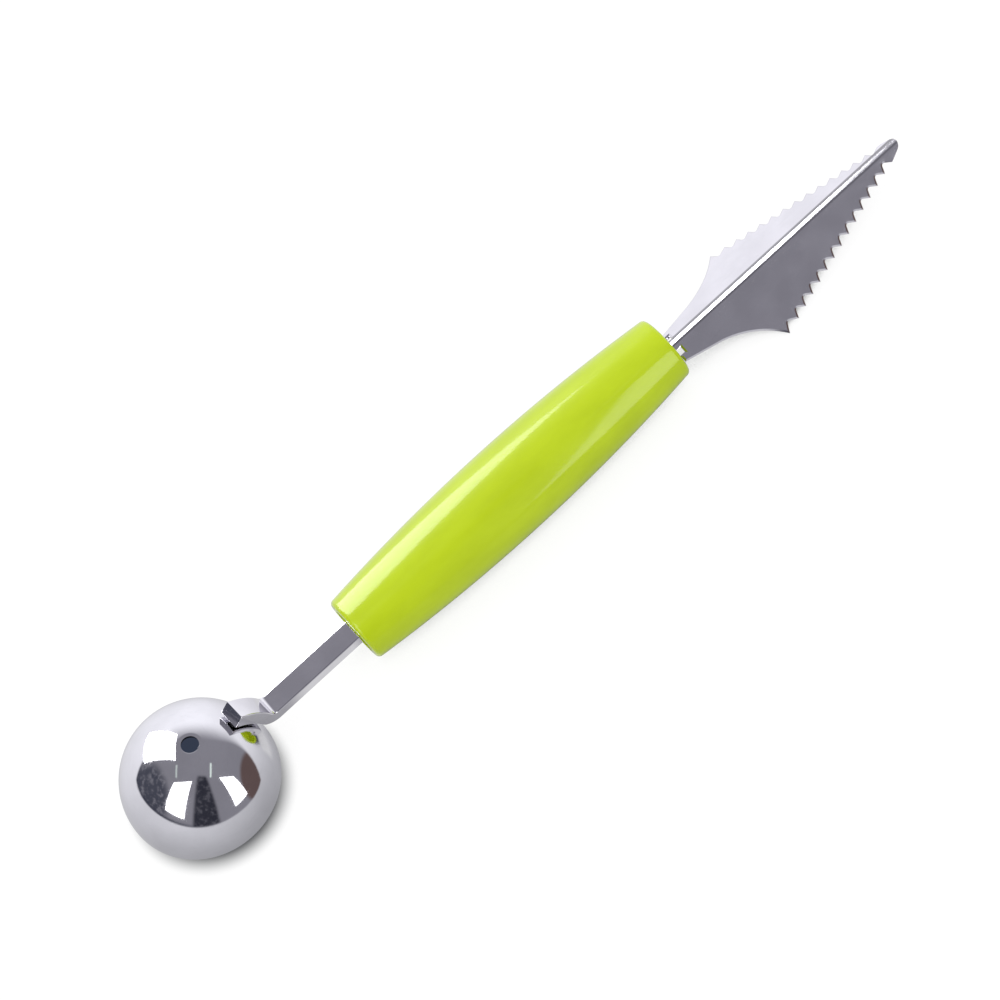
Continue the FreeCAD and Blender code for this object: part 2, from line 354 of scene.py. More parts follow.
class Outline:
    """A chain of points in the upright plane through an axis, drawn with extrude and spin."""

    def __init__(self, name, start):
        clear_selection()
        bpy.ops.mesh.primitive_circle_add(vertices=3, radius=MM, enter_editmode=True)
        self.piece = bpy.context.object
        self.piece.name = name
        self.piece.data.name = name
        bpy.ops.mesh.select_mode(type="VERT")
        select_all()
        bpy.ops.mesh.merge(type="CENTER")
        bpy.ops.transform.translate(value=start)
        self.end = Vector(start)

    def run_to(self, place):
        """A straight run to a place."""
        step = Vector(place) - self.end
        bpy.ops.mesh.extrude_vertices_move(TRANSFORM_OT_translate={"value": step})
        self.end = Vector(place)

    def turn_to(self, place, centre, steps):
        """An arc about a centre to a place on it, the short way round."""
        start = self.end - centre
        goal = Vector(place) - centre
        turn = math.atan2(goal.z, goal.x) - math.atan2(start.z, start.x)
        turn = (turn + math.pi) % FULL_TURN - math.pi
        bpy.ops.mesh.spin(steps=steps, angle=turn, center=centre, axis=Y_AXIS)
        self.end = Vector(place)

    def revolve(self, centre, axis, steps):
        """Closes the chain and spins it once round the axis."""
        select_all()
        bpy.ops.mesh.remove_doubles(threshold=TURNED_MERGE_SLACK)
        bpy.ops.mesh.spin(steps=steps, angle=FULL_TURN, center=centre, axis=axis)
        merge_all(TURNED_MERGE_SLACK)
        leave_edit()
        return self.piece


def circle_through(first, second, third):
    """Centre and radius of the circle through three points of a plane."""
    rows = Matrix([(2 * p[0], 2 * p[1], 1.0) for p in (first, second, third)])
    squares = Vector([p[0] ** 2 + p[1] ** 2 for p in (first, second, third)])
    x, y, rest = rows.inverted() @ squares
    return x, y, math.sqrt(rest + x * x + y * y)


def bowl_centre(settings):
    """Centre of the bowl's half ball."""
    return Vector((BOWL_X, 0, BOWL_LOW.z + settings.centre_height))


# Shader helpers


class Tap:
    """An output of a shader node. Sums with taps and numbers add Math nodes."""

    def __init__(self, recipe, socket):
        self.recipe = recipe
        self.socket = socket

    def sum_node(self, operation, *values):
        return self.recipe.add("ShaderNodeMath", {"operation": operation}, dict(enumerate(values)))

    def __add__(self, other):
        return self.sum_node("ADD", self, other)

    def __radd__(self, other):
        return self.sum_node("ADD", other, self)

    def __sub__(self, other):
        return self.sum_node("SUBTRACT", self, other)

    def __rsub__(self, other):
        return self.sum_node("SUBTRACT", other, self)

    def __mul__(self, other):
        return self.sum_node("MULTIPLY", self, other)

    def __rmul__(self, other):
        return self.sum_node("MULTIPLY", other, self)

    def __abs__(self):
        return self.sum_node("ABSOLUTE", self)


BLACK = (0.0, 0.0, 0.0, 1.0)
WHITE = (1.0, 1.0, 1.0, 1.0)


class Recipe:
    """A shader tree that is built node by node."""

    def __init__(self, owner):
        owner.use_nodes = True
        self.tree = owner.node_tree
        self.tree.nodes.clear()

    def add(self, kind, settings=None, sockets=None, output=0):
        """A node of a type, with its settings set first and then its sockets' values or links."""
        node = self.tree.nodes.new(kind)
        for name, value in (settings or {}).items():
            setattr(node, name, value)
        for name, value in (sockets or {}).items():
            if isinstance(value, Tap):
                self.tree.links.new(value.socket, node.inputs[name])
            else:
                node.inputs[name].default_value = value
        return Tap(self, node.outputs[output]) if node.outputs else None

    def object_place(self):
        return self.add("ShaderNodeTexCoord", output="Object")

    def stretched(self, scale):
        """Object coordinates, stretched."""
        return self.add("ShaderNodeMapping", None, {"Vector": self.object_place(), "Scale": scale})

    def noise(self, vector, scale, detail=2.0, roughness=0.5):
        sockets = {"Vector": vector, "Scale": scale, "Detail": detail, "Roughness": roughness}
        return self.add("ShaderNodeTexNoise", None, sockets, "Fac")

    def ease(self, value, low, high):
        """0 below low, 1 above high, smooth between."""
        sockets = {"Value": value, "From Min": low, "From Max": high}
        return self.add("ShaderNodeMapRange", {"interpolation_type": "SMOOTHSTEP"}, sockets)

    def mix(self, factor, first, second):
        """A colour between two colours."""
        return self.add("ShaderNodeMix", {"data_type": "RGBA"}, {0: factor, 6: first, 7: second}, 2)

    def vector_sum(self, operation, first, second):
        """A number from two vectors."""
        sockets = {0: first, 1: second}
        return self.add("ShaderNodeVectorMath", {"operation": operation}, sockets, "Value")

    def dot(self, vector, direction):
        return self.vector_sum("DOT_PRODUCT", vector, direction)

    def bump(self, height, strength, distance):
        sockets = {"Height": height, "Strength": strength, "Distance": distance}
        return self.add("ShaderNodeBump", None, sockets)

    def ray(self, name):
        return self.add("ShaderNodeLightPath", output=name)

    def diffuse(self, tint):
        return self.add("ShaderNodeBsdfDiffuse", None, {"Color": tint})

    def emission(self, strength, tint=WHITE):
        return self.add("ShaderNodeEmission", None, {"Color": tint, "Strength": strength})

    def background(self, tint):
        return self.add("ShaderNodeBackground", None, {"Color": tint})

    def mix_shader(self, factor, first, second):
        return self.add("ShaderNodeMixShader", None, {0: factor, 1: first, 2: second})

    def surface(self, sockets):
        """The material's principled surface and its output."""
        self.finish(self.add("ShaderNodeBsdfPrincipled", None, sockets))

    def finish(self, shader, kind="ShaderNodeOutputMaterial"):
        self.add(kind, None, {"Surface": shader})


def rgba(values, gain=1.0):
    return (values[0] * gain, values[1] * gain, values[2] * gain, 1.0)


# Materials

# Grain of the scratches, in scratches per metre along each axis
SPUN_GRAIN = (420.0, 420.0, 2400.0)
BAR_GRAIN = (300.0, 2600.0, 2600.0)
BLADE_GRAIN = (240.0, 2400.0, 2400.0)

# Polished steel: which part of the noise counts, and how far it changes tone and blur
SCRATCHES = (0.52, 0.74)
SCRATCH_TONE = 0.86
SCRATCH_SHARE = 0.25
CLOUDS = (0.3, 0.7)
CLOUD_BLUR = (0.35, 0.75)
CLOUD_TONES = (0.96, 1.03)
CLOUD_BLUR_SHARE = 0.5
# Softness of the edges of the bands of painted shade
PAINTED_SHADE_SOFTNESS = 0.25

# Weld metal: tone of its stains and its blur
STAIN_TONE = 0.6
WELD_BLUR = 0.35
WELD_BLUR_SPREAD = 0.25

# Plastic: clouds of pigment, uneven blur, and the two layers of gloss at full strength
PIGMENT_GRAIN = (60.0, 160.0, 160.0)
CLOUDED_BLUR = 0.04
SPECKLED_BLUR = 0.02
PLASTIC_IOR_STEP = 0.45
PLASTIC_SPECULAR = 0.3
HAZE_WEIGHT = 0.5
HAZE_BLUR = 0.36
HAZE_IOR = 1.4


def polished_steel(name, tint, roughness, grain, painted_shade_bands=()):
    """Polished steel with fine scratches along the grain, a faint, cloudy polish and bands of
    painted shade.

    A band of painted shade has its low and high edge on Y and its tone; it darkens the base colour
    where the surroundings would be reflected darker.
    """
    material = bpy.data.materials.new(name)
    recipe = Recipe(material)
    lines = recipe.noise(recipe.stretched(grain), scale=1.0, detail=6.0, roughness=0.65)
    cloud = recipe.noise(recipe.object_place(), scale=160.0, detail=3.0)
    scratches = recipe.ease(lines, *SCRATCHES)
    pale, bright = (rgba(tint, tone) for tone in CLOUD_TONES)
    base = recipe.mix(recipe.ease(cloud, *CLOUDS), pale, bright)
    base = recipe.mix(scratches * SCRATCH_SHARE, base, rgba(tint, SCRATCH_TONE))
    cloud_blur = CLOUD_BLUR_SHARE * roughness * recipe.ease(cloud, *CLOUD_BLUR)
    across = recipe.dot(recipe.object_place(), Y_AXIS) if painted_shade_bands else None
    for low, high, tone in painted_shade_bands:
        soft = PAINTED_SHADE_SOFTNESS * (high - low)
        past_low = recipe.ease(across, low - soft, low + soft)
        past_high = recipe.ease(across, high - soft, high + soft)
        # Painted shade: each band darkens the base colour towards black
        base = recipe.mix(past_low * (1.0 - past_high) * tone, base, BLACK)
    recipe.surface({
        "Base Color": base,
        "Metallic": 1.0,
        "Roughness": roughness + cloud_blur + roughness * scratches,
        "Normal": recipe.bump(lines, strength=0.06, distance=0.02 * MM),
    })
    return material


def weld_metal(settings):
    """Dull, heat-stained nuggets."""
    material = bpy.data.materials.new("weld_metal")
    recipe = Recipe(material)
    grain = recipe.noise(recipe.object_place(), scale=1800.0, detail=4.0)
    stained = rgba(settings.weld, STAIN_TONE)
    recipe.surface({
        "Base Color": recipe.mix(recipe.ease(grain, *CLOUDS), stained, rgba(settings.weld)),
        "Metallic": 1.0,
        "Roughness": WELD_BLUR + WELD_BLUR_SPREAD * grain,
        "Normal": recipe.bump(grain, strength=0.4, distance=0.05 * MM),
    })
    return material


def lime_plastic(name, lime, pale, roughness, gloss):
    """Moulded plastic with faint clouds of pigment and a barely uneven gloss under a soft haze."""
    material = bpy.data.materials.new(name)
    recipe = Recipe(material)
    pigment = recipe.stretched(PIGMENT_GRAIN)
    clouds = recipe.noise(pigment, scale=1.0, detail=4.0, roughness=0.6)
    specks = recipe.noise(recipe.object_place(), scale=2600.0)
    recipe.surface({
        "Base Color": recipe.mix(recipe.ease(clouds, *CLOUDS), rgba(lime), rgba(pale)),
        "Roughness": roughness + CLOUDED_BLUR * clouds + SPECKLED_BLUR * specks,
        "IOR": 1.0 + PLASTIC_IOR_STEP * gloss,
        "Specular IOR Level": PLASTIC_SPECULAR * gloss,
        "Coat Weight": HAZE_WEIGHT * gloss,
        "Coat Roughness": HAZE_BLUR,
        "Coat IOR": HAZE_IOR,
        "Normal": recipe.bump(specks, strength=0.03, distance=0.01 * MM),
    })
    return material


# Pieces


class MELON_OT_scoop_bowl(bpy.types.Operator):
    """Mirror-polished bowl: part of a ball around the vent, with a skirt and a bevelled rim"""

    bl_idname = "melon.scoop_bowl"
    bl_label = "Scoop Bowl"

    def execute(self, context):
        settings = context.scene.melon_bowl
        centre = bowl_centre(settings)
        rim = centre.z - settings.skirt
        vent_axis = Vector((math.sin(settings.vent_lean), 0, math.cos(settings.vent_lean)))
        vent_height = math.sqrt(BOWL_RADIUS ** 2 - (settings.vent_diameter / 2) ** 2)
        bowl = new_primitive(
            "bowl_shell",
            bpy.ops.mesh.primitive_uv_sphere_add,
            segments=BALL_SEGMENTS,
            ring_count=BALL_RINGS,
            radius=BOWL_RADIUS,
            location=centre,
            rotation=(0, settings.vent_lean, 0),
        )

        def height(place):
            return place.z

        def across(place):
            return math.hypot(place.x - centre.x, place.y - centre.y)

        def is_equator(edge):
            return all_near(edge, height, centre.z) and len(edge.link_faces) == 1

        def is_vent(vertex):
            return vertex.is_boundary and vertex.co.z > centre.z

        def is_rim(edge):
            return all_near(edge, height, rim) and all_near(edge, across, BOWL_RADIUS)

        edit(bowl)
        slice_off(centre + vent_axis * vent_height, vent_axis)
        slice_off(centre, -Z_AXIS)
        merge_all(BALL_MERGE_SLACK)
        pick("EDGE", is_equator)
        extrude(Z_AXIS * -settings.skirt)
        pick("VERT", is_vent)
        bpy.ops.transform.translate(value=vent_axis * -settings.vent_dish)
        leave_edit()
        apply_modifier(
            bowl, "SOLIDIFY", thickness=settings.sheet, offset=-1.0, use_even_offset=True
        )
        edit(bowl)
        pick("EDGE", is_rim)
        bevel(settings.rim_bevel, 3)
        leave_edit()
        smooth_by_angle(bowl, SHARP_PRESSED)
        steel = polished_steel("bowl_mirror", settings.steel, settings.roughness, SPUN_GRAIN)
        dress(bowl, "scoop_bowl", steel)
        return {"FINISHED"}


class MELON_OT_spot_welds(bpy.types.Operator):
    """Finish of the weld nuggets under the strap"""

    bl_idname = "melon.spot_welds"
    bl_label = "Spot Welds"

    def execute(self, context):
        metal = weld_metal(context.scene.melon_shank)
        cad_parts["bowl_spot_welds"].material_slots[0].material = metal
        return {"FINISHED"}


class MELON_OT_scoop_shank(bpy.types.Operator):
    """Flat bar drawn out of the handle, bent up and wrapped over the bowl"""

    bl_idname = "melon.scoop_shank"
    bl_label = "Scoop Shank"

    # Short run before the bend, so that the bend's shading doesn't spread along the bar
    run_in = 0.3 * MM

    def execute(self, context):
        settings = context.scene.melon_shank
        centre = bowl_centre(context.scene.melon_bowl)
        width = SHANK_HIGH.y - SHANK_LOW.y
        thickness = settings.thickness
        strap_top = BOWL_RADIUS + settings.strap_gap + thickness
        middle = HANDLE_CENTRE.z - settings.drop
        rise = middle + thickness / 2 + settings.bend_radius - centre.z
        span = strap_top + settings.bend_radius
        strap_start = math.asin(rise / span)
        bend_centre = centre + Vector((math.sqrt(span ** 2 - rise ** 2), 0, rise))
        tang = Vector((SHANK_HIGH.x, 0, middle))
        shank = new_primitive(
            "shank_bar",
            bpy.ops.mesh.primitive_plane_add,
            size=1,
            location=tang,
            rotation=(0, QUARTER_TURN, 0),
        )
        edit(shank)
        bpy.ops.transform.resize(value=(1, width, thickness), center_override=tang)
        extrude((bend_centre.x + self.run_in - tang.x, 0, 0))
        extrude((-self.run_in, 0, 0))
        bend = strap_start - QUARTER_TURN
        wrap = settings.strap_end - strap_start
        bpy.ops.mesh.spin(steps=BEND_STEPS, angle=bend, center=bend_centre, axis=Y_AXIS)
        bpy.ops.mesh.spin(steps=STRAP_STEPS, angle=wrap, center=centre, axis=Y_AXIS)
        merge_all(MERGE_SLACK)

        end_up = Vector((math.cos(settings.strap_end), 0, math.sin(settings.strap_end)))
        end_back = Vector((math.sin(settings.strap_end), 0, -math.cos(settings.strap_end)))
        lip = centre + end_up * strap_top

        def on_lip(vertex):
            return math.hypot(vertex.co.x - lip.x, vertex.co.z - lip.z) < LIP_REACH

        def is_square(edge):
            square = math.radians(SQUARE_EDGE)
            return len(edge.link_faces) == 2 and edge.calc_face_angle() > square

        def is_cap(face):
            return len(face.verts) == 4 and all(map(is_square, face.edges))

        def is_long(edge):
            return is_square(edge) and not any(map(is_cap, edge.link_faces))

        pick("VERT", on_lip)
        bpy.ops.transform.translate(value=end_back * thickness * math.tan(settings.end_lean))
        pick("EDGE", is_long)
        bevel(settings.edge_rounding, 4)
        pick("EDGE", is_square)
        bevel(settings.end_rounding, 2)
        leave_edit()
        smooth_by_angle(shank, SHARP_PRESSED)
        apply_modifier(shank, "WEIGHTED_NORMAL", weight=80, keep_sharp=True)
        steel = polished_steel("shank_polish", settings.steel, settings.roughness, BAR_GRAIN)
        dress(shank, "scoop_shank", steel)
        return {"FINISHED"}


class MELON_OT_handle_grip(bpy.types.Operator):
    """Barrel grip turned from its outline, with rounded rims and a bore with snap grooves"""

    bl_idname = "melon.handle_grip"
    bl_label = "Handle Grip"

    def execute(self, context):
        settings = context.scene.melon_handle
        half = (HANDLE_HIGH.x - HANDLE_LOW.x) / 2
        belly = (HANDLE_HIGH.z - HANDLE_LOW.z) / 2
        rounding = settings.rim_rounding
        bore = settings.bore_radius
        mouth = bore + settings.mouth_chamfer
        mouth_along = half - settings.mouth_chamfer
        barrel_along, barrel_out, barrel_radius = circle_through(
            (-half, settings.scoop_end_radius), (0, belly), (half, settings.blade_end_radius)
        )

        def place(along, out):
            return HANDLE_CENTRE + Vector((along, 0, out))

        centre = place(barrel_along, barrel_out)

        def rim(side):
            """Centre of a rim's rounding, and where it meets the barrel and the end face."""
            along = side * (half - rounding)
            reach = (barrel_radius - rounding) ** 2 - (along - barrel_along) ** 2
            out = barrel_out + math.sqrt(reach)
            corner = place(along, out)
            on_barrel = centre + (corner - centre).normalized() * barrel_radius
            return corner, on_barrel, place(side * half, out)

        grip = Outline("grip", place(-half, mouth))
        corner, on_barrel, on_end = rim(-1)
        grip.run_to(on_end)
        grip.turn_to(on_barrel, corner, RIM_STEPS)
        corner, on_barrel, on_end = rim(1)
        grip.turn_to(on_barrel, centre, BARREL_STEPS)
        grip.turn_to(on_end, corner, RIM_STEPS)
        grip.run_to(place(half, mouth))
        grip.run_to(place(mouth_along, bore))
        bead = half - settings.groove_inset
        wide = settings.groove_width / 2
        narrow = wide * settings.groove_floor
        deep = bore + settings.groove_depth
        for groove in (bead, -bead):
            for step, out in ((wide, bore), (narrow, deep), (-narrow, deep), (-wide, bore)):
                grip.run_to(place(groove + step, out))
        grip.run_to(place(-mouth_along, bore))
        grip.run_to(place(-half, mouth))
        piece = grip.revolve(HANDLE_CENTRE, X_AXIS, TURNED_STEPS)
        smooth_by_angle(piece, SHARP_TURNED)
        plastic = lime_plastic(
            "lime_gloss", settings.lime, settings.lime_pale, settings.roughness, settings.gloss
        )
        dress(piece, "handle_barrel", plastic)
        return {"FINISHED"}


class MELON_OT_end_plugs(bpy.types.Operator):
    """Finish of the two plugs in the handle's ends, in a darker lime as painted shade"""

    bl_idname = "melon.end_plugs"
    bl_label = "End Plugs"

    def execute(self, context):
        settings = context.scene.melon_handle
        plastic = lime_plastic(
            "lime_plug", settings.plug_shaded_lime, settings.lime,
            settings.plug_roughness, settings.plug_gloss,
        )
        for node in ("scoop_end_plug", "blade_end_plug"):
            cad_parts[node].material_slots[0].material = plastic
        return {"FINISHED"}


class MELON_OT_carving_blade(bpy.types.Operator):
    """Folded blade with a flat along its ridge and a rolled edge around its teeth"""

    bl_idname = "melon.carving_blade"
    bl_label = "Carving Blade"

    # Where the worked part of the blade starts inside the handle, and its plain margin
    root_inset = 1 * MM
    root_margin = 0.5 * MM

    # Tests that tell the ridge, the wings and the cut edges apart
    ridge_facing = 0.999
    wing_facing = (0.8, 0.9)
    wing_area = 50 * MM * MM
    same_facing = 0.05
    edge_facing = 0.5

    def execute(self, context):
        settings = context.scene.melon_blade
        clear_selection()
        cad_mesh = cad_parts["carving_blade"].data
        blade = bpy.data.objects.new("blade_sheet", cad_mesh.copy())
        blade.data.name = "blade_sheet"
        context.scene.collection.objects.link(blade)
        slope = settings.wing_slope
        sharp_top = BLADE_HIGH.z + settings.fold_radius * (1 / math.cos(slope) - 1)
        flat_up = Vector((0, math.sin(settings.ridge_lean), math.cos(settings.ridge_lean)))
        root = HANDLE_HIGH.x - self.root_inset
        nose = BLADE_HIGH.x - settings.nose_plain
        same_face = math.radians(SAME_FACE)

        def past_root(face):
            return min(vertex.co.x for vertex in face.verts) > root - HAIR

        def is_ridge(face):
            return face.normal.dot(flat_up) > self.ridge_facing and past_root(face)

        def is_wing(face):
            low, high = self.wing_facing
            sloped = low < face.normal.z < high
            return sloped and face.calc_area() > self.wing_area and past_root(face)

        def beside_ridge(edge):
            return any(map(is_ridge, edge.link_faces)) and any(map(is_wing, edge.link_faces))

        edit(blade)
        bpy.ops.mesh.customdata_custom_splitnormals_clear()
        bpy.ops.mesh.remove_doubles(threshold=MERGE_SLACK)
        bpy.ops.mesh.dissolve_limited(angle_limit=same_face)
        slice_off(Z_AXIS * (sharp_top - settings.ridge_depth), flat_up, use_fill=True)
        select_all()
        bpy.ops.mesh.dissolve_limited(angle_limit=same_face)
        score_across(root)
        pick("EDGE", beside_ridge)
        bevel(settings.ridge_rounding, 2)
        score_across(nose)
        pick("FACE", is_wing)
        bpy.ops.mesh.inset(
            thickness=settings.edge_roll, use_even_offset=True, use_individual=True
        )
        for side in (-1, 1):
            wing_up = Vector((0, side * math.sin(slope), math.cos(slope)))

            def on_outline(vertex):
                faces = vertex.link_faces
                between = root + self.root_margin < vertex.co.x < nose - HAIR
                if vertex.co.y * side < 0 or not between or any(map(is_wing, faces)):
                    return False
                on_top = any((face.normal - wing_up).length < self.same_facing for face in faces)
                return on_top and any(face.normal.z < self.edge_facing for face in faces)

            pick("VERT", on_outline)
            bpy.ops.transform.translate(value=wing_up * -settings.edge_drop)
        leave_edit()
        smooth_by_angle(blade, SHARP_BLADE)
        apply_modifier(blade, "WEIGHTED_NORMAL", weight=100, keep_sharp=True)
        rise = math.tan(slope)
        lean = math.tan(settings.ridge_lean)
        left = settings.ridge_depth / (rise - lean)
        right = -settings.ridge_depth / (rise + lean)
        # Bands of painted shade beside the ridge's flat: they darken the base colour where the
        # fold's reflection would be darker
        painted_shades = [
            (left, left + settings.left_painted_shade, settings.left_painted_shade_tone),
            (right - settings.right_painted_shade, right, settings.right_painted_shade_tone),
        ]
        steel = polished_steel(
            "blade_polish", settings.steel, settings.roughness, BLADE_GRAIN, painted_shades
        )
        dress(blade, "carving_blade", steel)
        return {"FINISHED"}


# Studio

SENSOR_WIDTH = 36.0

# Corners of the windows as off and clock angles in degrees, seen from the bowl
KEY_WINDOW = [(114, 140), (78, 117), (46, 138), (89, 163)]
RIGHT_WINDOW = [(29, 13), (49, 9), (72, -15), (63, -35)]
LEFT_WINDOW = [(35, -179), (10, 172), (57, -113), (63, -141)]
FAR_WINDOW = 3.0
NEAR_WINDOW = 1.2

# A plane's corners in their order around it
PLANE_CORNERS = (0, 1, 3, 2)

# Floor: painted shadow, a near-black paper under the tool and a dark glow in the bowl's hollow, and
# the share of light on the bright paper
PAINTED_SHADOW_FLOOR = (0.045, 0.05, 0.065, 1.0)
PAINTED_HOLLOW_SHADOW = (0.036, 0.045, 0.072, 1.0)
SHADE_SHARE = 0.2

# Floor: reach of the painted contact shadow, which follows occlusion, and how open the floor is
# where the shadow fades
SHADOW_REACH = 30 * MM
SHADOW_SAMPLES = 8
SEEN_FADE = (0.08, 0.34)
MIRRORED_FADE = (0.3, 0.6)

# Floor: distances from the bowl's foot where the painted dark glow of its hollow and its painted
# shadow end
HOLLOW_END = (12.3 * MM, 13.7 * MM)
SHADOW_END = (12.3 * MM, 18 * MM)

# Floor: the painted lit strip beside the bar, a glow that only reflections see
STRIP_LEVEL = 0.82
STRIP_START = (BOWL_HIGH.x + 5 * MM, BOWL_HIGH.x + 12 * MM)
STRIP_END = (HANDLE_LOW.x - 2 * MM, HANDLE_LOW.x + 2 * MM)
STRIP_SIDE = (8 * MM, 12 * MM)

# Room: colours of its walls, dark corners, lamps and table
ROOM_GREY = (0.29, 0.285, 0.32, 1.0)
CORNER_DARK = (0.05, 0.055, 0.08, 1.0)
CORNER_WARM = (0.13, 0.08, 0.07, 1.0)
GAP_DARK = (0.035, 0.036, 0.05, 1.0)
LAMP_PALE = (1.05, 1.2, 1.1, 1.0)
TABLE_WHITE = (1.3, 1.3, 1.35, 1.0)

# Room: the table's edge, which dips above, below and to the right, and is soft above
EDGE_HEIGHT = 0.12
DIP_ABOVE = 0.354
DIP_BELOW = 0.2
DIP_RIGHT = 0.05
EDGE_SHARPNESS = 33.0
EDGE_SOFTENING = 30.0
UPPER_PART = (0.2, 0.9)
LOWER_PART = (-0.9, 0.0)

# Room: the table's brightness, its slopes and its shaded side
TABLE_LEVEL = 0.82
TABLE_RISE = 0.3
TABLE_CURVE = 0.15
TABLE_FALL = 0.145
TABLE_SHADE = 0.3
SHADED_SIDE = (-0.9, 0.3)
TABLE_GAIN = 0.77

# Room: dark corners as off and clock angles in degrees, and how near to them the dark starts
LEFT_CORNER = (76, -168)
LEFT_CORNER_FADE = (0.80, 0.93)
RIGHT_CORNER = (86, 6)
RIGHT_CORNER_FADE = (0.87, 0.92)
CORNER_SHARE = 0.9

# Room: cloudy clutter that lightens the dark places
CLUTTER = (0.48, 0.66)
CORNER_CLUTTER = 0.7
GAP_CLUTTER = 0.3

# Room: dark gap between the windows, and two lamp lines with their shares
DARK_GAP = [(9, 103), (13, 39), (66, -64), (66, -99)]
GAP_SOFTNESS = 0.1
LAMP_LINES = [
    (0.9, [(30.6, 61), (31.9, 57.4), (18.3, 22.8), (16.4, 25.9)]),
    (0.5, [(40.9, 144.2), (38.9, 141.9), (31.2, 169.2), (33.3, 169.8)]),
]
LAMP_SOFTNESS = 0.02

# Room: dark line along the table's edge at the lower left
LINE_SHARE = 0.8
LINE_WIDTH = (1.0, 4.0)
LINE_RIGHT_END = (-0.5, 0.1)
LINE_TOP_END = (0.0, 0.4)

# Soft light: how far its bright side lies to the left, and its gain
SOFT_LEFT = 0.8
SOFT_GAIN = 0.5
SOFT_WHITE = (2.0, 2.0, 2.0, 1.0)


def camera_axes(settings):
    """The camera's right, up and back directions."""
    flat_right = Vector((math.cos(settings.azimuth), math.sin(settings.azimuth), 0))
    back = Vector((
        math.sin(settings.azimuth) * math.cos(settings.elevation),
        -math.cos(settings.azimuth) * math.cos(settings.elevation),
        math.sin(settings.elevation),
    ))
    flat_up = back.cross(flat_right)
    right = flat_right * math.cos(settings.roll) + flat_up * math.sin(settings.roll)
    up = flat_up * math.cos(settings.roll) - flat_right * math.sin(settings.roll)
    return right, up, back


def towards(axes, off, clock):
    """Direction at an angle off the camera's axis; the clock angle turns left from the right."""
    right, up, back = axes
    off = math.radians(off)
    clock = math.radians(clock)
    around = right * math.cos(clock) + up * math.sin(clock)
    return back * math.cos(off) + around * math.sin(off)


